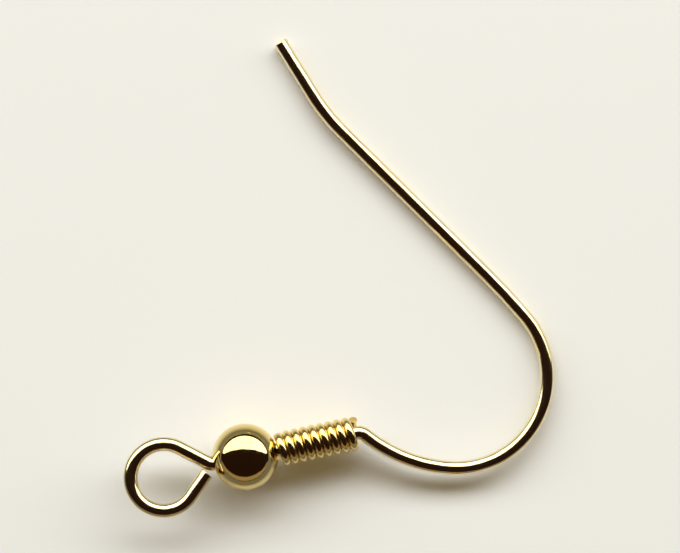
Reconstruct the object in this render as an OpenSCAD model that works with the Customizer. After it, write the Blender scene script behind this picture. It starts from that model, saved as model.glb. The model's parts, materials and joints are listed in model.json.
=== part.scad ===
// Ear wire of the ball-and-coil fish-hook kind, lying on a flat surface.
// One round wire makes the drop loop, the straight shank and the hook. A drilled bead and a
// wound coil are threaded on the shank, held between the loop's shoulders and the kink.
//
// The wire is laid out flat first: x runs along the shank, from the loop to the hook, and y runs
// towards the hook's open leg, with the bead's centre at zero. Then the whole thing is tipped
// a few degrees, so that it rests on the bead, the tip and the outside of the bend.

/* [Wire] */
// Diameter of the wire that the loop, shank and hook are bent from
wire_d = 0.65; // [0.5:0.01:0.8]

/* [Bead] */
// Diameter of the bead
ball_d = 3; // [2.4:0.1:4]
// Room between the wire and the bead's hole, all round
ball_clearance = 0.08; // [0.04:0.01:0.15]

/* [Coil] */
// Diameter of the thin wire that the coil is wound from
coil_wire_d = 0.37; // [0.25:0.01:0.5]
// Turns in the coil
coil_turns = 9; // [5:1:12]
// Gap between one turn and the next
turn_gap = 0.02; // [0.01:0.01:0.1]
// Room between the hook's wire and the inside of the coil, all round
coil_clearance = 0.1; // [0.06:0.01:0.2]
// Gap between the coil's first turn and the bead that it sits on
seat_gap = 0.03; // [0.02:0.01:0.1]

/* [Drop loop] */
// Radius of the loop, to the middle of the wire
loop_r = 1.49; // [1.2:0.01:1.8]
// Distance from the bead to the loop's centre
loop_reach = 2.26; // [2.2:0.01:3]
// Distance that the loop's centre sits to one side of the shank's line
loop_offset = 0.13; // [0:0.01:0.2]
// Angle between the shank and the leg that comes back to it
loop_close_angle = 43.7; // [38:0.1:50]
// Distance from the bead to the corner where the wire turns off into the loop
neck_reach = 0.07; // [0.05:0.01:0.2]
// Radius of that corner, to the middle of the wire
neck_r = 0.5; // [0.4:0.01:0.7]
// Gap between the loop's cut end and the side of the wire
neck_gap = 0.04; // [0.02:0.01:0.1]

/* [Kink above the coil] */
// Angle that the wire kinks sideways as it leaves the coil
kink_angle = 50; // [30:1:60]
// Radius of the kink, to the middle of the wire
kink_r = 0.5; // [0.4:0.01:0.7]
// Distance from the coil to the kink's corner
kink_reach = 0.05; // [0.02:0.01:0.2]

/* [Hook] */
// Radius of the shallow curve after the kink
entry_r = 6.75; // [5:0.05:9]
// Angle that it turns through
entry_angle = 33.3; // [25:0.1:45]
// Radius of the hook's main bend
bend_r = 4.15; // [3.5:0.05:6]
// Angle that it turns through
bend_angle = 135; // [110:1:150]
// Radius of the slight curve where the bend runs out into the leg
ease_r = 29; // [15:1:50]
// Angle that it turns through
ease_angle = 5; // [2:0.5:10]
// Length of the straight leg
leg_length = 9.2; // [6:0.1:12]
// Radius of the outward curve near the tip
flare_r = 9; // [6:0.5:14]
// Angle that it turns through
flare_angle = 13.7; // [8:0.1:20]
// Length of the straight tip, which goes through the ear
tip_length = 2.8; // [1.5:0.05:4]

/* [Hidden] */
$fn = 64;

// A bend is drawn this much slimmer than the straights and runs this far into them at each end,
// so that the two join in a clean overlap. A short straight stands between two bends.
bend_slimmer = 0.003;
bend_lap = 0.02;
land = 0.1;

// Facets of the coil: stations in a turn, and sides of its thin wire
turn_stations = 24;
coil_wire_sides = 8;

// Bead and coil
ball_r = ball_d / 2;
ball_hole_d = wire_d + 2 * ball_clearance;
coil_r = wire_d / 2 + coil_clearance + coil_wire_d / 2;
coil_pitch = coil_wire_d + turn_gap;
// The first turn sits on the bead round its hole, and the last one reaches half the thin wire's
// width past its own middle
coil_start = sqrt(pow(ball_r + coil_wire_d / 2 + seat_gap, 2) - pow(coil_r, 2));
coil_end = coil_start + coil_turns * coil_pitch + coil_wire_d / 2;

// A stretch of wire is [length, turn]: straight where turn is 0, else an arc that turns by so many
// degrees to the left. A place on the wire is [x, y, heading].
function straight(length) = [length, 0];
function bend(radius, turn) = [radius * abs(turn) * PI / 180, turn];
function bend_radius(stretch) = stretch[0] / (abs(stretch[1]) * PI / 180);
function chord(stretch) = stretch[1] == 0
    ? stretch[0]
    : 2 * bend_radius(stretch) * sin(abs(stretch[1]) / 2);
function after(place, stretch) =
    let (chord_angle = place[2] + stretch[1] / 2,
         moved = chord(stretch) * [cos(chord_angle), sin(chord_angle)])
    [place[0] + moved[0], place[1] + moved[1], place[2] + stretch[1]];
function places(start, route, done = 0) = done == len(route)
    ? [start]
    : concat([start], places(after(start, route[done]), route, done + 1));
function unit(heading) = [cos(heading), sin(heading)];
function cross_of(a, b) = a[0] * b[1] - a[1] * b[0];

// The loop: the wire leaves the shank's line at the neck's corner along a tangent to the loop, goes
// round, and comes back on another tangent until its cut end meets the side of the wire
neck_corner = [-ball_r - neck_reach, 0];
loop_centre = [-ball_r - loop_reach, -loop_offset];
neck_to_centre = loop_centre - neck_corner;
first_leg_heading = 180 + atan2(-neck_to_centre[1], -neck_to_centre[0])
    - asin(loop_r / norm(neck_to_centre));
neck_angle = 180 - first_leg_heading;
neck_start = neck_corner[0] + neck_r * tan(neck_angle / 2);
first_leg = sqrt(pow(norm(neck_to_centre), 2) - pow(loop_r, 2)) - neck_r * tan(neck_angle / 2);
loop_angle = 180 + neck_angle + loop_close_angle;
return_start = loop_centre + loop_r * [sin(loop_close_angle), -cos(loop_close_angle)];
meeting_angle = first_leg_heading - loop_close_angle;
return_to_meeting = cross_of(neck_corner - return_start, unit(first_leg_heading))
    / cross_of(unit(loop_close_angle), unit(first_leg_heading));
return_leg = return_to_meeting
    - (wire_d / 2 * (1 + abs(cos(meeting_angle))) + neck_gap) / sin(meeting_angle);

loop_route = [
    bend(neck_r, -neck_angle),
    straight(first_leg),
    bend(loop_r, loop_angle),
    straight(return_leg)
];

// The shank and the hook
kink_start = coil_end + kink_reach - kink_r * tan(kink_angle / 2);

hook_route = [
    straight(kink_start - neck_start),
    bend(kink_r, -kink_angle),
    straight(land),
    bend(entry_r, entry_angle),
    straight(land),
    bend(bend_r, bend_angle),
    straight(land),
    bend(ease_r, ease_angle),
    straight(leg_length),
    bend(flare_r, -flare_angle),
    straight(tip_length)
];

loop_places = places([neck_start, 0, 180], loop_route);
hook_places = places([neck_start, 0, 0], hook_route);
tip_place = hook_places[len(hook_route)];
tip_end = [tip_place[0], tip_place[1]];

// Places along a route, close enough together to find how far the wire reaches
steps = 32;
function trail(all_places, route) = [
    for (i = [0 : len(route) - 1], step = [0 : steps])
        after(all_places[i], route[i] * step / steps)
];
whole_trail = concat(trail(loop_places, loop_route), trail(hook_places, hook_route));

// How it rests: on the bead, and on the line that touches both the tip and the outside of the bend.
// fall points from the bead's centre square to that line, and the wire slopes down along it.
rest_angle = max([for (p = whole_trail) atan2(tip_end[1] - p[1], tip_end[0] - p[0])]);
fall = [sin(rest_angle), -cos(rest_angle)];
rest_tilt = asin((ball_r - wire_d / 2) / (fall * tip_end));

// A flat point after tipping, seen from above, and the middle of everything there
function seen_from_above(p) = p - fall * (fall * p) * (1 - cos(rest_tilt));
wire_sides = [
    for (p = whole_trail, side = [-1, 1])
        seen_from_above([p[0], p[1]] + side * wire_d / 2 * unit(p[2] + 90))
];
reach_x = concat([for (p = wire_sides) p[0]], [-ball_r, ball_r]);
reach_y = concat([for (p = wire_sides) p[1]], [-ball_r, ball_r]);
middle = [max(reach_x) + min(reach_x), max(reach_y) + min(reach_y)] / 2;

module laid_down() {
    translate([-middle[0], -middle[1], ball_r])
        rotate(a = rest_tilt, v = [-fall[1], fall[0], 0])
            children();
}

// One straight stretch or one bend of the wire, from its place on
module wire_stretch(place, stretch) {
    translate([place[0], place[1], 0])
        rotate([0, 0, place[2]])
            if (stretch[1] == 0) {
                rotate([0, 90, 0])
                    cylinder(d = wire_d, h = stretch[0]);
            } else {
                radius = bend_radius(stretch);
                extra_turn = bend_lap / radius * 180 / PI;
                start_angle = stretch[1] > 0 ? -90 : 90 + stretch[1];
                translate([0, sign(stretch[1]) * radius, 0])
                    rotate([0, 0, start_angle - extra_turn])
                        rotate_extrude(angle = abs(stretch[1]) + 2 * extra_turn)
                            translate([radius, 0])
                                circle(d = wire_d - bend_slimmer);
            }
}

module bent_wire(all_places, route) {
    for (i = [0 : len(route) - 1])
        wire_stretch(all_places[i], route[i]);
}

module ear_hook() {
    color("goldenrod")
        laid_down()
            union() {
                bent_wire(loop_places, loop_route);
                bent_wire(hook_places, hook_route);
            }
}

module ball() {
    color("gold")
        laid_down()
            rotate([0, 90, 0])
                difference() {
                    sphere(d = ball_d);
                    cylinder(d = ball_hole_d, h = 2 * ball_d, center = true);
                }
}

// The thin wire's rings follow a right-handed helix, each square to it
slope_angle = atan2(coil_pitch, 2 * PI * coil_r);
function coil_point(turned, side) =
    let (out = [0, cos(turned), sin(turned)],
         across = [cos(slope_angle), sin(slope_angle) * sin(turned), -sin(slope_angle) * cos(turned)],
         around = side * 360 / coil_wire_sides)
    [coil_start + coil_pitch * turned / 360, 0, 0] + coil_r * out
        + coil_wire_d / 2 * (cos(around) * out + sin(around) * across);

coil_stations = coil_turns * turn_stations;
coil_points = [
    for (station = [0 : coil_stations], side = [0 : coil_wire_sides - 1])
        coil_point(station * 360 / turn_stations, side)
];
function coil_corner(station, side) = station * coil_wire_sides + side % coil_wire_sides;
coil_faces = concat(
    [[for (side = [coil_wire_sides - 1 : -1 : 0]) coil_corner(0, side)]],
    [[for (side = [0 : coil_wire_sides - 1]) coil_corner(coil_stations, side)]],
    [
        for (station = [0 : coil_stations - 1], side = [0 : coil_wire_sides - 1])
            [
                coil_corner(station, side),
                coil_corner(station, side + 1),
                coil_corner(station + 1, side + 1),
                coil_corner(station + 1, side)
            ]
    ]
);

module coil() {
    color("khaki")
        laid_down()
            polyhedron(points = coil_points, faces = coil_faces, convexity = 10);
}

ear_hook();
ball();
coil();
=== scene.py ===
"""Dresses the ear wire: one bent hook wire, a drilled bead and a wound coil, all gold-plated brass.

Sizes are in millimetres unless a name says otherwise. Each piece is modelled flat, with the bead's
centre at zero, x along the shank towards the hook and y towards the hook's open leg. Then it is laid
down on the surface where the frame's own bead and wire lie.
"""

import json
import logging
import math
from collections.abc import Callable, Iterator
from contextlib import contextmanager
from dataclasses import dataclass
from enum import Enum

import bmesh
import bpy
import numpy as np
from mathutils import Matrix, Vector


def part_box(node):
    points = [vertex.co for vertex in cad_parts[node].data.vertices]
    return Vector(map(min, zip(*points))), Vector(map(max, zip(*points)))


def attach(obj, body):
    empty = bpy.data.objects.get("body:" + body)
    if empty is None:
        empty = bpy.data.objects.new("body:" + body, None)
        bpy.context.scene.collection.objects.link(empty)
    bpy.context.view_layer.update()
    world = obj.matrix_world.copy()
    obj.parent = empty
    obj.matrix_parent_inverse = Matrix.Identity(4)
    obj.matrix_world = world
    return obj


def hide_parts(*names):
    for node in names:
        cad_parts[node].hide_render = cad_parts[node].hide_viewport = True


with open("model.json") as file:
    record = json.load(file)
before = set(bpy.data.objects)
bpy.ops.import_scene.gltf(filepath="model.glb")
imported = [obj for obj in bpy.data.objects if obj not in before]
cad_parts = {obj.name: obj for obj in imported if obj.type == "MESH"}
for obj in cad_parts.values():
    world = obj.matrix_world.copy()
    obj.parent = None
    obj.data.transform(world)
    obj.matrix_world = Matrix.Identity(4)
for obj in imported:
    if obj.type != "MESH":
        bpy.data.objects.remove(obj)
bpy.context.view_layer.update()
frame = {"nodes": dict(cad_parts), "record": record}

MM = 0.001
PICTURE = (680, 553)
BODY = "root"
# Each vertex of a wire keeps its place on the straight wire, before bending: how far along it lies,
# and how far to the left and above the middle, all in millimetres
UNBENT = "unbent_wire"
# How close to a cut a vertex must lie to count as on it, in metres
ON_CUT = 1e-7
# How close two vertices lie that are merged, and how close counts as at a given place, in millimetres
MERGED = 0.0005
NEAR = 0.001
# Steps across the rounding of a cut edge
ROUND_STEPS = 4

log = logging.getLogger("ear_wire")


class Slot(Enum):
    """The record's material slots."""

    WIRE = "gold_plated_wire"
    BEAD = "gold_plated_bead"
    COIL = "gold_plated_coil"


class Node(Enum):
    """The frame's nodes that the dressed pieces stand for."""

    WIRE = "ear_hook"
    BEAD = "ball"
    COIL = "coil"


# Working by hand


def deselect_all() -> None:
    """Leaves nothing selected."""
    bpy.ops.object.select_all(action="DESELECT")


def new_piece(name: str) -> bpy.types.Object:
    """Names the primitive that was just added and makes its place part of its mesh.

    Args:
        name: the piece's plain name.

    Returns:
        The piece, at the origin and unturned.
    """
    piece = bpy.context.active_object
    piece.name = name
    piece.data.name = name
    bpy.ops.object.transform_apply(location=True, rotation=True, scale=True)
    return piece


@contextmanager
def edit_mode(piece: bpy.types.Object) -> Iterator[None]:
    """Opens one piece alone in edit mode, and closes it again.

    Args:
        piece: the piece to work on.
    """
    deselect_all()
    piece.select_set(True)
    bpy.context.view_layer.objects.active = piece
    bpy.ops.object.mode_set(mode="EDIT")
    bpy.context.tool_settings.mesh_select_mode = (True, False, False)
    yield
    bpy.ops.object.mode_set(mode="OBJECT")


def select_where(piece: bpy.types.Object, wanted: Callable[[bmesh.types.BMVert], bool]) -> None:
    """Selects the vertices of the piece in edit mode that pass a test, and nothing else.

    Args:
        piece: the piece in edit mode.
        wanted: says whether a vertex is wanted.
    """
    bpy.ops.mesh.select_all(action="DESELECT")
    mesh = bmesh.from_edit_mesh(piece.data)
    for vert in mesh.verts:
        vert.select = wanted(vert)
    mesh.select_flush_mode()
    bmesh.update_edit_mesh(piece.data)


def mend_normals() -> None:
    """Merges doubles in the piece in edit mode, then turns all its faces outwards."""
    bpy.ops.mesh.select_all(action="SELECT")
    bpy.ops.mesh.remove_doubles(threshold=MERGED * MM)
    bpy.ops.mesh.normals_make_consistent(inside=False)


def smooth(piece: bpy.types.Object, angle: float = 35.0) -> None:
    """Shades a piece smooth but for its sharp edges.

    Args:
        piece: the piece.
        angle: the degrees from which an edge stays sharp.
    """
    deselect_all()
    piece.select_set(True)
    bpy.context.view_layer.objects.active = piece
    bpy.ops.object.shade_smooth_by_angle(angle=math.radians(angle))


def nip_end(
    piece: bpy.types.Object, span: tuple[float, float], point: Vector, way: Vector, rounding: float
) -> None:
    """Nips one end of a wire off along a plane, closes it and rounds its edge.

    Args:
        piece: the wire in edit mode.
        span: the stretch that the cut lies in, from and to on the straight wire.
        point: a point of the cut.
        way: the way that the cut faces.
        rounding: how far the edge is rounded.
    """
    layer = bmesh.from_edit_mesh(piece.data).verts.layers.float_vector[UNBENT]
    select_where(piece, lambda vert: span[0] - NEAR < vert[layer].x < span[1] + NEAR)
    bpy.ops.mesh.bisect(
        plane_co=point * MM, plane_no=way, clear_outer=True, use_fill=True, threshold=ON_CUT
    )
    bpy.ops.mesh.bevel(offset=rounding * MM, segments=ROUND_STEPS, affect="EDGES")


# The flat wire


@dataclass(frozen=True)
class Stretch:
    """One straight or one bend of the wire: its length, and the degrees that it turns to the left."""

    length: float
    turn: float = 0.0

    @classmethod
    def bend(cls, radius: float, turn: float) -> "Stretch":
        """Makes a bend of a radius, to the middle of the wire, through so many degrees."""
        return cls(radius * math.radians(abs(turn)), turn)

    @property
    def radius(self) -> float:
        """The bend's radius to the middle of the wire."""
        return self.length / math.radians(abs(self.turn))

    def reversed(self) -> "Stretch":
        """Gives the same stretch gone through from its other end."""
        return Stretch(self.length, -self.turn)


@dataclass(frozen=True)
class Place:
    """A place on the flat wire and the way that the wire heads there, in degrees."""

    x: float
    y: float
    heading: float

    @property
    def point(self) -> Vector:
        """The place as a point."""
        return Vector((self.x, self.y, 0.0))

    @property
    def ahead(self) -> Vector:
        """The way that the wire runs."""
        way = math.radians(self.heading)
        return Vector((math.cos(way), math.sin(way), 0.0))

    @property
    def left(self) -> Vector:
        """The way to the wire's left, in its plane."""
        way = math.radians(self.heading)
        return Vector((-math.sin(way), math.cos(way), 0.0))

    def centre_of(self, stretch: Stretch) -> Vector:
        """Gives the middle of the bend that starts here."""
        return self.point + math.copysign(stretch.radius, stretch.turn) * self.left

    def after(self, stretch: Stretch) -> "Place":
        """Follows the wire through one stretch.

        Args:
            stretch: the stretch that starts here.

        Returns:
            The place at its end.
        """
        if stretch.turn == 0.0:
            end = self.point + stretch.length * self.ahead
        else:
            centre = self.centre_of(stretch)
            turned = Matrix.Rotation(math.radians(stretch.turn), 3, "Z")
            end = centre + turned @ (self.point - centre)
        return Place(end.x, end.y, self.heading + stretch.turn)


class WireBender:
    """Draws a round wire out and bends it stretch by stretch in edit mode, as on a jig."""

    def __init__(self, name: str, start: Place, diameter: float, sides: int, step: float) -> None:
        """Starts the wire with one ring.

        Args:
            name: the piece's plain name.
            start: where the wire starts.
            diameter: the wire's diameter.
            sides: corners in a ring.
            step: the most degrees that one step of a bend turns.
        """
        self.place = start
        self.travelled = 0.0
        self.step = step
        deselect_all()
        bpy.ops.mesh.primitive_circle_add(
            vertices=sides,
            radius=diameter / 2 * MM,
            fill_type="NOTHING",
            location=start.point * MM,
            rotation=(0.0, math.pi / 2, math.radians(start.heading)),
        )
        self.piece = new_piece(name)
        self.piece.data.attributes.new(UNBENT, "FLOAT_VECTOR", "POINT")

    def _mark_ring(self) -> None:
        """Writes on the selected ring where it lies on the straight wire."""
        mesh = bmesh.from_edit_mesh(self.piece.data)
        layer = mesh.verts.layers.float_vector[UNBENT]
        for vert in mesh.verts:
            if vert.select:
                out = vert.co / MM - self.place.point
                vert[layer] = (self.travelled, out.dot(self.place.left), out.z)
        bmesh.update_edit_mesh(self.piece.data)

    def draw(self, stretches: list[Stretch]) -> None:
        """Draws the wire through all its stretches.

        Args:
            stretches: the wire's stretches in order.
        """
        with edit_mode(self.piece):
            bpy.ops.mesh.select_all(action="SELECT")
            self._mark_ring()
            for stretch in stretches:
                if stretch.turn == 0.0:
                    self._straight(stretch)
                else:
                    self._bend(stretch)

    def _straight(self, stretch: Stretch) -> None:
        """Extrudes the last ring straight ahead.

        Args:
            stretch: the straight stretch.
        """
        move = stretch.length * MM * self.place.ahead
        bpy.ops.mesh.extrude_region_move(TRANSFORM_OT_translate={"value": move})
        self.place = self.place.after(stretch)
        self.travelled += stretch.length
        self._mark_ring()

    def _bend(self, stretch: Stretch) -> None:
        """Spins the last ring round the bend's middle, a few degrees at a time.

        Args:
            stretch: the bend.
        """
        steps = math.ceil(abs(stretch.turn) / self.step)
        part = Stretch(stretch.length / steps, stretch.turn / steps)
        centre = self.place.centre_of(stretch) * MM
        for _ in range(steps):
            # The spin operator turns clockwise for a positive angle
            bpy.ops.mesh.spin(
                steps=1, angle=-math.radians(part.turn), center=centre, axis=(0.0, 0.0, 1.0)
            )
            self.place = self.place.after(part)
            self.travelled += part.length
            self._mark_ring()


# Finishes


def linear(colour: str) -> tuple[float, float, float, float]:
    """Turns an sRGB hex colour to linear.

    Args:
        colour: the colour, such as "#f4efe4".

    Returns:
        Linear red, green and blue, and 1 for alpha.
    """
    shares = (int(colour[at : at + 2], 16) / 255 for at in (1, 3, 5))
    red, green, blue = (s / 12.92 if s <= 0.04045 else ((s + 0.055) / 1.055) ** 2.4 for s in shares)
    return red, green, blue, 1.0


def add_node(
    tree: bpy.types.NodeTree, kind: str, inputs: dict[str | int, object] | None = None, **settings: object
) -> bpy.types.Node:
    """Adds one node with its settings and links.

    Args:
        tree: the tree that the node goes in.
        kind: the node's type.
        inputs: for each input, its value or the output that feeds it.
        **settings: the node's own settings.

    Returns:
        The new node.
    """
    made = tree.nodes.new(kind)
    for name, value in settings.items():
        setattr(made, name, value)
    for name, value in (inputs or {}).items():
        if isinstance(value, bpy.types.NodeSocket):
            tree.links.new(value, made.inputs[name])
        else:
            made.inputs[name].default_value = value
    return made


def empty_material(name: str) -> bpy.types.Material:
    """Makes a material with no nodes in it yet.

    Args:
        name: the material's name.

    Returns:
        The material.
    """
    material = bpy.data.materials.new(name)
    material.use_nodes = True
    material.node_tree.nodes.clear()
    return material


def mix(
    tree: bpy.types.NodeTree, share: bpy.types.NodeSocket, first: str, second: str
) -> bpy.types.NodeSocket:
    """Mixes two colours.

    Args:
        tree: the tree that the node goes in.
        share: how much of the second colour shows.
        first: the colour where the share is 0.
        second: the colour where the share is 1.

    Returns:
        The mixed colour.
    """
    inputs = {0: share, 6: linear(first), 7: linear(second)}
    return add_node(tree, "ShaderNodeMix", inputs, data_type="RGBA").outputs[2]


# Noise values between which the plate turns thin, and the marks turn the mirror hazy
THINNING = (0.42, 0.68)
HAZING = (0.35, 0.75)


@dataclass(frozen=True)
class GoldPlate:
    """Bright yellow gold, electroplated thinly over brass that was drawn or tumbled first.

    It mirrors the lamp as a pale yellow band and the dark of the room as deep brown. The plate varies
    a little in depth, and the brass's die lines or tumbling marks still show through it.
    """

    name: str
    # Full gold, and where the plate is thin and the paler brass shows through
    full: str
    thin: str
    # How rough the mirror is, and how much rougher it gets along the marks
    roughness: float
    haze: float
    # Size of the patches of thinner plate
    patch: float
    # Marks in the surface: their width, how much longer than wide, and their depth. Real die lines are
    # a few micrometres wide, and these are drawn as coarse as they need to be to show.
    mark_width: float
    mark_stretch: float
    mark_depth: float
    # Along a bent wire the marks follow the wire
    along_wire: bool = True

    def _place(self, tree: bpy.types.NodeTree) -> bpy.types.NodeSocket:
        """Gives each point's place in millimetres, on the straight wire or on the piece.

        Args:
            tree: the material's nodes.

        Returns:
            The place.
        """
        if self.along_wire:
            return add_node(tree, "ShaderNodeAttribute", attribute_name=UNBENT).outputs["Vector"]
        object_place = add_node(tree, "ShaderNodeTexCoord").outputs["Object"]
        per_mm = add_node(
            tree, "ShaderNodeMapping", {"Vector": object_place, "Scale": (1 / MM, 1 / MM, 1 / MM)}
        )
        return per_mm.outputs["Vector"]

    def make(self) -> bpy.types.Material:
        """Makes the material.

        Returns:
            The finished material.
        """
        material = empty_material(self.name)
        tree = material.node_tree
        place = self._place(tree)
        patches = add_node(
            tree, "ShaderNodeTexNoise", {"Vector": place, "Scale": 1 / self.patch, "Detail": 3.0}
        )
        across = 1 / self.mark_width
        stretched = add_node(
            tree,
            "ShaderNodeMapping",
            {"Vector": place, "Scale": (across / self.mark_stretch, across, across)},
        )
        marks = add_node(
            tree,
            "ShaderNodeTexNoise",
            {"Vector": stretched.outputs["Vector"], "Scale": 1.0, "Detail": 4.0},
        )
        thinness = add_node(
            tree,
            "ShaderNodeMapRange",
            {
                "Value": patches.outputs["Fac"],
                "From Min": THINNING[0],
                "From Max": THINNING[1],
                "To Min": 0.0,
                "To Max": 1.0,
            },
        )
        roughness = add_node(
            tree,
            "ShaderNodeMapRange",
            {
                "Value": marks.outputs["Fac"],
                "From Min": HAZING[0],
                "From Max": HAZING[1],
                "To Min": self.roughness,
                "To Max": self.roughness + self.haze,
            },
        )
        relief = add_node(
            tree,
            "ShaderNodeBump",
            {"Height": marks.outputs["Fac"], "Strength": 1.0, "Distance": self.mark_depth * MM},
        )
        shader = add_node(
            tree,
            "ShaderNodeBsdfPrincipled",
            {
                "Base Color": mix(tree, thinness.outputs["Result"], self.full, self.thin),
                "Metallic": 1.0,
                "Roughness": roughness.outputs["Result"],
                "Normal": relief.outputs["Normal"],
            },
        )
        add_node(tree, "ShaderNodeOutputMaterial", {"Surface": shader.outputs["BSDF"]})
        return material


# The hook's wire was drawn through a die, so fine lines run along it under a bright plate
DRAWN_WIRE = GoldPlate(
    name="gold_plated_drawn_brass_wire",
    full="#f7e6b2",
    thin="#f4e7c4",
    roughness=0.10,
    haze=0.08,
    patch=1.2,
    mark_width=0.045,
    mark_stretch=30.0,
    mark_depth=0.003,
)
# A wire end nipped off with cutters is matt, and was plated as it was
SHEARED_END = GoldPlate(
    name="gold_plated_sheared_brass",
    full="#e6c87c",
    thin="#cfae68",
    roughness=0.38,
    haze=0.15,
    patch=0.3,
    mark_width=0.04,
    mark_stretch=1.0,
    mark_depth=0.006,
)
# The bead was tumbled to a mirror before plating, which leaves a faint orange peel
TUMBLED_BEAD = GoldPlate(
    name="gold_plated_tumbled_brass_bead",
    full="#f6dc8f",
    thin="#f3e0a4",
    roughness=0.055,
    haze=0.05,
    patch=1.6,
    mark_width=0.22,
    mark_stretch=1.0,
    mark_depth=0.002,
    along_wire=False,
)
# The coil's thin wire is drawn finer and wound on a mandrel, so it is a little duller
WOUND_WIRE = GoldPlate(
    name="gold_plated_wound_brass_wire",
    full="#f7de95",
    thin="#f0dca0",
    roughness=0.13,
    haze=0.08,
    patch=0.8,
    mark_width=0.03,
    mark_stretch=25.0,
    mark_depth=0.0018,
)


def dress(
    piece: bpy.types.Object, node: Node, finish: GoldPlate, cut: GoldPlate | None = None
) -> None:
    """Gives a finished piece its materials and its place in the frame.

    Args:
        piece: the piece, laid down.
        node: the frame's node that it stands for.
        finish: its finish.
        cut: the finish of its cut ends, which are its only faces with more than four corners.
    """
    piece.data.materials.append(finish.make())
    if cut:
        piece.data.materials.append(cut.make())
        for face in piece.data.polygons:
            if len(face.vertices) > 4:
                face.material_index = 1
    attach(piece, BODY)
    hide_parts(node.value)
    log.info("%s stands for %s: %d faces", piece.name, node.value, len(piece.data.polygons))


def lay_down(piece: bpy.types.Object, resting: Matrix) -> None:
    """Lays a flat piece on the surface and makes its place part of its mesh.

    Args:
        piece: the piece as it was modelled flat.
        resting: how the frame's own wire lies.
    """
    deselect_all()
    piece.select_set(True)
    bpy.context.view_layer.objects.active = piece
    piece.matrix_world = resting
    bpy.ops.object.transform_apply(location=True, rotation=True, scale=True)


# The pieces


@dataclass(frozen=True)
class Bead:
    """The drilled bead on the shank, next to the drop loop."""

    diameter: float = 3.0
    # The frame's sphere has flat facets, so the finer one here is this much smaller across
    smaller: float = 0.0014
    hole_diameter: float = 0.81
    rim_round: float = 0.05
    # With this many rings, none lies within the rounding of the hole's edge
    segments: int = 120
    rings: int = 60

    @property
    def radius(self) -> float:
        """The bead's radius."""
        return self.diameter / 2

    def build(self) -> bpy.types.Object:
        """Models the bead: a sphere cut off at both ends of its hole, bored through and rounded there.

        Returns:
            The bead as modelled flat.
        """
        made_radius = self.radius - self.smaller / 2
        deselect_all()
        bpy.ops.mesh.primitive_uv_sphere_add(
            segments=self.segments,
            ring_count=self.rings,
            radius=made_radius * MM,
            rotation=(0.0, math.pi / 2, 0.0),
        )
        piece = new_piece("tumbled_bead")
        cut = math.sqrt(made_radius**2 - (self.hole_diameter / 2) ** 2) * MM
        with edit_mode(piece):
            for side in (-1.0, 1.0):
                bpy.ops.mesh.select_all(action="SELECT")
                bpy.ops.mesh.bisect(
                    plane_co=(side * cut, 0.0, 0.0),
                    plane_no=(side, 0.0, 0.0),
                    clear_outer=True,
                    threshold=ON_CUT,
                )
            select_where(piece, lambda vert: vert.is_boundary)
            bpy.ops.mesh.bridge_edge_loops()
            self._select_rims(piece, cut)
            bpy.ops.mesh.bevel(offset=self.rim_round * MM, segments=ROUND_STEPS, affect="EDGES")
            bpy.ops.mesh.select_mode(type="VERT")
            mend_normals()
        smooth(piece)
        return piece

    def _select_rims(self, piece: bpy.types.Object, cut: float) -> None:
        """Selects the edges round the two ends of the hole, and nothing else.

        Args:
            piece: the bead in edit mode.
            cut: how far from its centre the bead is cut off, in metres.
        """
        bpy.ops.mesh.select_all(action="DESELECT")
        bpy.ops.mesh.select_mode(type="EDGE")
        mesh = bmesh.from_edit_mesh(piece.data)
        for edge in mesh.edges:
            middle = (edge.verts[0].co + edge.verts[1].co) / 2
            edge.select = abs(abs(middle.x) - cut) < NEAR * MM
        mesh.select_flush_mode()
        bmesh.update_edit_mesh(piece.data)

    def dress(self, piece: bpy.types.Object) -> None:
        """Gives the bead its finish."""
        dress(piece, Node.BEAD, TUMBLED_BEAD)


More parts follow.
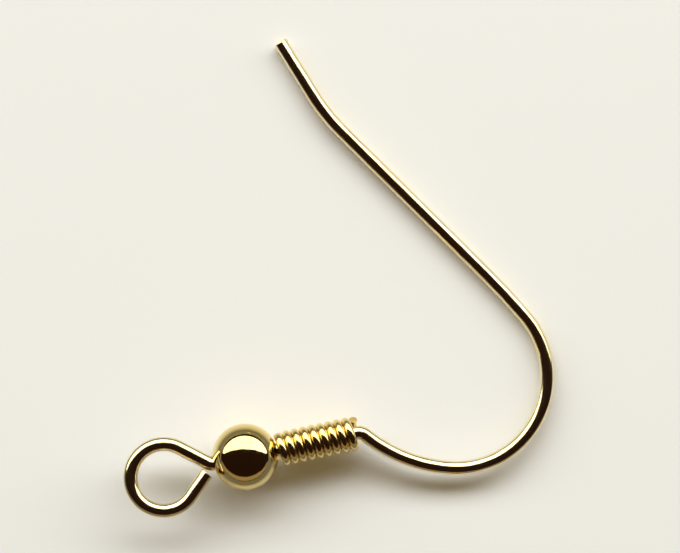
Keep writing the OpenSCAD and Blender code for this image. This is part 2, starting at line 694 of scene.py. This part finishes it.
@dataclass(frozen=True)
class WoundCoil:
    """The sleeve of thin wire wound close, between the bead and the kink."""

    bead: Bead
    shank_diameter: float = 0.65
    # Room that the frame leaves round the shank, between turns and at the bead
    clearance: float = 0.1
    turn_gap: float = 0.02
    seat_gap: float = 0.03
    turns: int = 9
    frame_wire: float = 0.37
    # The wire as seen: its turns all but touch, inside the same outer diameter
    wire_diameter: float = 0.384
    # Corners in a ring of the wire, and rings in a turn
    sides: int = 24
    steps: int = 48
    # The two ends: how long they run out straight, the degrees that the cutters came in from outside,
    # and how far the edge is rounded
    end_length: float = 0.28
    end_slant: float = 28.0
    end_round: float = 0.025

    @property
    def frame_radius(self) -> float:
        """Radius of the winding in the frame, to the middle of its wire."""
        return self.shank_diameter / 2 + self.clearance + self.frame_wire / 2

    @property
    def radius(self) -> float:
        """Radius of the winding to the middle of the thicker wire."""
        return self.frame_radius - (self.wire_diameter - self.frame_wire) / 2

    @property
    def pitch(self) -> float:
        """Distance from one turn to the next."""
        return self.frame_wire + self.turn_gap

    @property
    def slope(self) -> float:
        """How far the turns lean, in radians."""
        return math.atan2(self.pitch, 2 * math.pi * self.radius)

    @property
    def start(self) -> float:
        """Where the first turn starts, past the bead's centre."""
        reach = self.bead.radius + self.frame_wire / 2 + self.seat_gap
        return math.sqrt(reach**2 - self.frame_radius**2)

    @property
    def end(self) -> float:
        """Where the coil ends."""
        return self.start + self.turns * self.pitch + self.frame_wire / 2

    def build(self) -> bpy.types.Object:
        """Models the coil: one ring of wire wound round the shank, which runs out straight at both ends.

        Returns:
            The coil as modelled flat.
        """
        short = math.atan(self.end_length / self.radius) / (2 * math.pi)
        first, last = short, self.turns - short
        ring = Matrix.Rotation(2 * math.pi * first, 3, "X") @ Matrix.Rotation(self.slope, 3, "Y")
        deselect_all()
        bpy.ops.mesh.primitive_circle_add(
            vertices=self.sides,
            radius=self.wire_diameter / 2 * MM,
            fill_type="NOTHING",
            location=self._middle(first) * MM,
            rotation=ring.to_euler(),
        )
        piece = new_piece("wound_coil")
        winding = piece.modifiers.new("winding", "SCREW")
        winding.axis = "X"
        winding.angle = 2 * math.pi * (last - first)
        winding.steps = winding.render_steps = round(self.steps * (last - first))
        winding.screw_offset = self.pitch * (last - first) * MM
        bpy.ops.object.modifier_apply(modifier=winding.name)
        self._mark(piece)
        with edit_mode(piece):
            for turned, sense in ((first, -1.0), (last, 1.0)):
                self._run_out(piece, turned, sense)
            mend_normals()
        smooth(piece)
        return piece

    def _middle(self, turned: float) -> Vector:
        """Gives the middle of the thin wire.

        Args:
            turned: turns from the coil's start.

        Returns:
            The point there.
        """
        angle = 2 * math.pi * turned
        across = Vector((0.0, math.cos(angle), math.sin(angle)))
        return Vector((self.start + self.pitch * turned, 0.0, 0.0)) + self.radius * across

    def _along(self, turned: float) -> Vector:
        """Gives the way that the thin wire runs.

        Args:
            turned: turns from the coil's start.

        Returns:
            The way there, of length 1.
        """
        angle = 2 * math.pi * turned
        round_shank = Vector((0.0, -math.sin(angle), math.cos(angle)))
        return math.sin(self.slope) * Vector((1.0, 0.0, 0.0)) + math.cos(self.slope) * round_shank

    @property
    def turn_length(self) -> float:
        """Length of wire in one turn."""
        return math.hypot(2 * math.pi * self.radius, self.pitch)

    def _mark(self, piece: bpy.types.Object) -> None:
        """Writes on each vertex where it lies on the straight wire.

        Args:
            piece: the wound coil, before its ends are run out.
        """
        layer = piece.data.attributes.new(UNBENT, "FLOAT_VECTOR", "POINT")
        places = []
        for vert in piece.data.vertices:
            x, y, z = vert.co / MM
            angle = math.atan2(z, y) / (2 * math.pi)
            turned = angle + round((x - self.start) / self.pitch - angle)
            lean = (x - self.start - turned * self.pitch) / math.cos(self.slope)
            places.extend((turned * self.turn_length, lean, math.hypot(y, z) - self.radius))
        layer.data.foreach_set("vector", places)

    def _run_out(self, piece: bpy.types.Object, turned: float, sense: float) -> None:
        """Runs one end of the thin wire out straight and nips it off from outside.

        Args:
            piece: the coil in edit mode.
            turned: turns from the coil's start to where the winding stops.
            sense: 1 where the winding ends there, and -1 where it starts.
        """
        travelled = turned * self.turn_length
        along = sense * self._along(turned)
        middle = self._middle(turned)
        layer = bmesh.from_edit_mesh(piece.data).verts.layers.float_vector[UNBENT]
        select_where(
            piece, lambda vert: vert.is_boundary and abs(vert[layer].x - travelled) < self.turn_length
        )
        bpy.ops.mesh.extrude_region_move(TRANSFORM_OT_translate={"value": self.end_length * MM * along})
        mesh = bmesh.from_edit_mesh(piece.data)
        layer = mesh.verts.layers.float_vector[UNBENT]
        for vert in mesh.verts:
            if vert.select:
                vert[layer].x += sense * self.end_length
        bmesh.update_edit_mesh(piece.data)
        slant = math.radians(self.end_slant)
        outwards = Vector((0.0, middle.y, middle.z)).normalized()
        kept = self.end_length - self.wire_diameter / 2 * math.tan(slant)
        half_step = self.turn_length / self.steps / 2
        span = sorted((travelled - sense * half_step, travelled + sense * (self.end_length + half_step)))
        nip_end(
            piece,
            (span[0], span[1]),
            middle + kept * along,
            math.cos(slant) * along + math.sin(slant) * outwards,
            self.end_round,
        )

    def dress(self, piece: bpy.types.Object) -> None:
        """Gives the coil its finish, and its two cut ends theirs."""
        dress(piece, Node.COIL, WOUND_WIRE, SHEARED_END)


@dataclass(frozen=True)
class HookWire:
    """The one bent wire: the drop loop, the shank through bead and coil, and the hook."""

    bead: Bead
    coil: WoundCoil
    wire_diameter: float = 0.65
    # All of the wire here is this much slimmer than the frame's straights, to lie inside its bends
    slimmer: float = 0.006
    # The drop loop
    loop_radius: float = 1.49
    loop_reach: float = 2.26
    loop_offset: float = 0.13
    loop_close: float = 43.7
    neck_reach: float = 0.07
    neck_radius: float = 0.5
    neck_gap: float = 0.04
    # The kink above the coil
    kink_turn: float = 50.0
    kink_radius: float = 0.5
    kink_reach: float = 0.05
    # A short straight between two bends
    land: float = 0.1
    # The hook
    entry_radius: float = 6.75
    entry_turn: float = 33.3
    bend_radius: float = 4.15
    bend_turn: float = 135.0
    ease_radius: float = 29.0
    ease_turn: float = 5.0
    leg_length: float = 9.2
    flare_radius: float = 9.0
    flare_turn: float = 13.7
    tip_length: float = 2.8
    # Corners in a ring of the wire, and the most degrees between two rings in a bend
    sides: int = 48
    step: float = 2.5
    # The cut ends: degrees off square, and how far the edge is rounded
    tip_slant: float = 4.0
    tip_round: float = 0.06
    neck_slant: float = -6.0
    neck_round: float = 0.03

    def _loop(self) -> tuple[Place, list[Stretch]]:
        """Works out the loop from the neck outwards.

        Returns:
            The neck's place, heading to the loop, and the stretches from there to the loop's cut end.
        """
        corner = Vector((-self.bead.radius - self.neck_reach, 0.0))
        centre = Vector((-self.bead.radius - self.loop_reach, -self.loop_offset))
        back = corner - centre
        tangent = math.atan2(back.y, back.x) - math.asin(self.loop_radius / back.length)
        heading = 180.0 + math.degrees(tangent)
        neck_turn = 180.0 - heading
        cut_back = self.neck_radius * math.tan(math.radians(neck_turn / 2))
        first_leg = math.sqrt(back.length_squared - self.loop_radius**2) - cut_back
        close = math.radians(self.loop_close)
        return_start = centre + self.loop_radius * Vector((math.sin(close), -math.cos(close)))
        leg_way = Vector((math.cos(math.radians(heading)), math.sin(math.radians(heading))))
        return_way = Vector((math.cos(close), math.sin(close)))
        to_meeting = (corner - return_start).cross(leg_way) / return_way.cross(leg_way)
        meeting = math.radians(heading - self.loop_close)
        shoulder = self.wire_diameter / 2 * (1 + abs(math.cos(meeting))) + self.neck_gap
        stretches = [
            Stretch.bend(self.neck_radius, -neck_turn),
            Stretch(first_leg),
            Stretch.bend(self.loop_radius, 180.0 + neck_turn + self.loop_close),
            Stretch(to_meeting - shoulder / math.sin(meeting)),
        ]
        return Place(corner.x + cut_back, 0.0, 180.0), stretches

    def _hook(self, neck: Place) -> list[Stretch]:
        """Works out the shank and the hook.

        Args:
            neck: the neck's place.

        Returns:
            The stretches from the neck to the tip.
        """
        kink_start = (
            self.coil.end + self.kink_reach - self.kink_radius * math.tan(math.radians(self.kink_turn / 2))
        )
        return [
            Stretch(kink_start - neck.x),
            Stretch.bend(self.kink_radius, -self.kink_turn),
            Stretch(self.land),
            Stretch.bend(self.entry_radius, self.entry_turn),
            Stretch(self.land),
            Stretch.bend(self.bend_radius, self.bend_turn),
            Stretch(self.land),
            Stretch.bend(self.ease_radius, self.ease_turn),
            Stretch(self.leg_length),
            Stretch.bend(self.flare_radius, -self.flare_turn),
            Stretch(self.tip_length),
        ]

    def build(self) -> bpy.types.Object:
        """Models the wire from the loop's cut end to the tip, then nips both ends.

        Returns:
            The wire as modelled flat.
        """
        neck, loop = self._loop()
        cut_end = neck
        for stretch in loop:
            cut_end = cut_end.after(stretch)
        start = Place(cut_end.x, cut_end.y, cut_end.heading - 180.0)
        bender = WireBender("hook_wire", start, self.wire_diameter - self.slimmer, self.sides, self.step)
        bender.draw([stretch.reversed() for stretch in reversed(loop)] + self._hook(neck))
        piece = bender.piece
        with edit_mode(piece):
            backwards = Place(start.x, start.y, cut_end.heading)
            self._nip(piece, backwards, (0.0, loop[-1].length), self.neck_slant, self.neck_round)
            tip_span = (bender.travelled - self.tip_length, bender.travelled)
            self._nip(piece, bender.place, tip_span, self.tip_slant, self.tip_round)
            mend_normals()
        smooth(piece)
        return piece

    def _nip(
        self, piece: bpy.types.Object, end: Place, span: tuple[float, float], slant: float, rounding: float
    ) -> None:
        """Nips one end of the wire off at a slant.

        Args:
            piece: the wire in edit mode.
            end: the end's place, heading out of the wire.
            span: the straight stretch there, from and to on the straight wire.
            slant: how far the cut is off square, in degrees.
            rounding: how far the edge is rounded.
        """
        way = Matrix.Rotation(math.radians(slant), 3, "Z") @ end.ahead
        pulled_back = self.wire_diameter / 2 * math.tan(math.radians(abs(slant)))
        nip_end(piece, span, end.point - pulled_back * end.ahead, way, rounding)

    def dress(self, piece: bpy.types.Object) -> None:
        """Gives the wire its finish, and its two cut ends theirs."""
        dress(piece, Node.WIRE, DRAWN_WIRE, SHEARED_END)


# The surface, the light and the camera


@dataclass(frozen=True)
class View:
    """The camera, looking straight down, with the picture's top turned off the frame's own axes."""

    # The shank rises this many degrees to the right in the picture
    shank_rise: float = 12.0
    lens: float = 150.0
    # Share of the picture's height that the ear wire takes
    fill: float = 0.86

    @property
    def right(self) -> Vector:
        """The way to the picture's right, on the surface."""
        rise = math.radians(self.shank_rise)
        return Vector((math.cos(rise), -math.sin(rise), 0.0))

    @property
    def up(self) -> Vector:
        """The way to the picture's top, on the surface."""
        rise = math.radians(self.shank_rise)
        return Vector((math.sin(rise), math.cos(rise), 0.0))

    def look(self, nodes: dict[str, bpy.types.Object]) -> None:
        """Sets the camera over the frame's nodes.

        Args:
            nodes: the frame's nodes.
        """
        points = np.array([vert.co for node in nodes.values() for vert in node.data.vertices])
        spans = [points @ np.array(way) for way in (self.right, self.up)]
        middles = [(span.max() + span.min()) / 2 for span in spans]
        height = (spans[1].max() - spans[1].min()) / self.fill
        width = height * PICTURE[0] / PICTURE[1]
        data = bpy.data.cameras.new("camera")
        data.lens = self.lens
        data.clip_start = 1 * MM
        distance = width * data.lens / data.sensor_width
        camera = bpy.data.objects.new("camera", data)
        camera.location = middles[0] * self.right + middles[1] * self.up + Vector((0.0, 0.0, distance))
        camera.rotation_euler = (0.0, 0.0, -math.radians(self.shank_rise))
        bpy.context.scene.collection.objects.link(camera)
        bpy.context.scene.camera = camera


class LampShape(Enum):
    """Outlines of a soft light."""

    OBLONG = "RECTANGLE"
    OVAL = "ELLIPSE"


@dataclass(frozen=True)
class SoftBox:
    """A long soft light across the picture, facing the ear wire.

    The angles are from straight overhead towards the picture's top, in degrees, and lengths in metres.
    """

    name: str
    nearest: float
    furthest: float
    colour: str
    # How bright it looks straight on, where 1 is the picture's own white
    brightness: float
    # Whether the gold mirrors it, or else it lights the paper
    in_gold: bool
    shape: LampShape = LampShape.OBLONG
    length: float = 5.6
    distance: float = 0.6

    def hang(self, up: Vector) -> None:
        """Hangs the light.

        Args:
            up: the way to the picture's top.
        """
        middle = math.radians((self.nearest + self.furthest) / 2)
        half = math.radians((self.furthest - self.nearest) / 2)
        data = bpy.data.lights.new(self.name, "AREA")
        data.shape = self.shape.value
        data.size = self.length
        data.size_y = 2 * self.distance * math.tan(half)
        data.color = linear(self.colour)[:3]
        surface = data.size * data.size_y
        if self.shape is LampShape.OVAL:
            surface *= math.pi / 4
        data.energy = self.brightness * math.pi * surface
        light = bpy.data.objects.new(self.name, data)
        outwards = math.sin(middle) * up + Vector((0.0, 0.0, math.cos(middle)))
        light.location = self.distance * outwards
        light.rotation_mode = "QUATERNION"
        light.rotation_quaternion = outwards.to_track_quat("Z", "Y")
        light.visible_camera = False
        light.visible_glossy = self.in_gold
        light.visible_diffuse = not self.in_gold
        bpy.context.scene.collection.objects.link(light)


@dataclass(frozen=True)
class Studio:
    """A pale sheet of paper in a dark room, lit mostly by long soft lights from the picture's top."""

    paper: str = "#f4f4f0"
    # Width and height of the paper's fibres
    paper_fibre: float = 0.35
    paper_relief: float = 0.01
    # Painted shade: where the gold mirrors the paper further away, the paper's colour is painted darker,
    # standing in for a lamp that lights only the strip it is over: how far away in millimetres that starts
    # and is whole, and the share left
    unlit_from: float = 1.5
    unlit_whole: float = 7.5
    unlit_share: float = 0.2
    painted_shade_colour: str = "#000000"
    floor_size_m: float = 3.0
    # The room as the gold mirrors it, and as the camera sees it past the paper's edge
    room: str = "#22140f"
    horizon: str = "#efe9dc"

    def lay_paper(self) -> None:
        """Lays the paper that the ear wire rests on, with painted shade where the gold mirrors it further
        away.
        """
        deselect_all()
        bpy.ops.mesh.primitive_plane_add(size=self.floor_size_m)
        floor = new_piece("paper")
        material = empty_material("matt_paper")
        tree = material.node_tree
        place = add_node(tree, "ShaderNodeTexCoord").outputs["Object"]
        fibres = add_node(
            tree,
            "ShaderNodeTexNoise",
            {"Vector": place, "Scale": 1 / (self.paper_fibre * MM), "Detail": 3.0},
        )
        relief = add_node(
            tree,
            "ShaderNodeBump",
            {"Height": fibres.outputs["Fac"], "Strength": 0.15, "Distance": self.paper_relief * MM},
        )
        # Painted shade: in rays mirrored off the gold, the paper's colour is painted darker with distance,
        # towards black
        path = add_node(tree, "ShaderNodeLightPath")
        unlit = add_node(
            tree,
            "ShaderNodeMapRange",
            {
                "Value": path.outputs["Ray Length"],
                "From Min": self.unlit_from * MM,
                "From Max": self.unlit_whole * MM,
                "To Min": 0.0,
                "To Max": 1.0 - self.unlit_share,
            },
            interpolation_type="SMOOTHSTEP",
        )
        painted_shade_share = add_node(
            tree,
            "ShaderNodeMath",
            {0: unlit.outputs["Result"], 1: path.outputs["Is Glossy Ray"]},
            operation="MULTIPLY",
        )
        shader = add_node(
            tree,
            "ShaderNodeBsdfPrincipled",
            {
                "Base Color": mix(tree, painted_shade_share.outputs["Value"], self.paper, self.painted_shade_colour),
                "Roughness": 0.9,
                "Specular IOR Level": 0.1,
                "Normal": relief.outputs["Normal"],
            },
        )
        add_node(tree, "ShaderNodeOutputMaterial", {"Surface": shader.outputs["BSDF"]})
        floor.data.materials.append(material)

    def darken_room(self) -> None:
        """Makes the room dark to the gold, and pale behind the surface's far edge."""
        world = bpy.data.worlds.new("room")
        bpy.context.scene.world = world
        world.use_nodes = True
        tree = world.node_tree
        tree.nodes.clear()
        seen_straight = add_node(tree, "ShaderNodeLightPath").outputs["Is Camera Ray"]
        colour = mix(tree, seen_straight, self.room, self.horizon)
        shader = add_node(tree, "ShaderNodeBackground", {"Color": colour})
        add_node(tree, "ShaderNodeOutputWorld", {"Surface": shader.outputs["Background"]})

    def light(self, up: Vector) -> None:
        """Hangs the lights.

        Args:
            up: the way to the picture's top.
        """
        for lamp in (
            SoftBox(
                "lamp_in_gold",
                nearest=30.0,
                furthest=80.0,
                colour="#fffdf2",
                brightness=2.7,
                in_gold=True,
                shape=LampShape.OVAL,
            ),
            SoftBox(
                "near_card_in_gold",
                nearest=-88.0,
                furthest=-70.0,
                colour="#ffe2b8",
                brightness=0.3,
                in_gold=True,
            ),
            SoftBox(
                "lamp_on_paper",
                nearest=36.0,
                furthest=58.0,
                colour="#fafdff",
                brightness=6.35,
                in_gold=False,
            ),
            SoftBox(
                "fill_on_paper",
                nearest=-50.0,
                furthest=50.0,
                colour="#ffdf98",
                brightness=0.2,
                in_gold=False,
            ),
        ):
            lamp.hang(up)


def resting_place() -> Matrix:
    """Works out how the flat wire lies, from the frame's bead and its drop loop's axis.

    Returns:
        The matrix from the flat layout to the frame.
    """
    low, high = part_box(Node.BEAD.value)
    mounts = {mount["name"]: mount for mount in frame["record"]["mounts"]}
    square_to_wire = Vector(mounts["drop_loop"]["axis"])
    tilt = Vector((0.0, 0.0, 1.0)).rotation_difference(square_to_wire)
    return Matrix.Translation((low + high) / 2) @ tilt.to_matrix().to_4x4()


def main() -> None:
    """Builds the pieces in order, dresses them and sets the scene round them."""
    logging.basicConfig(level=logging.INFO, format="%(name)s: %(message)s")
    resting = resting_place()
    bead = Bead()
    coil = WoundCoil(bead)
    for part in (HookWire(bead, coil), bead, coil):
        piece = part.build()
        lay_down(piece, resting)
        part.dress(piece)

    view = View()
    studio = Studio()
    studio.lay_paper()
    studio.darken_room()
    studio.light(view.up)
    view.look(frame["nodes"])
    bpy.context.scene.view_settings.view_transform = "Standard"


if __name__ == "__main__":
    main()
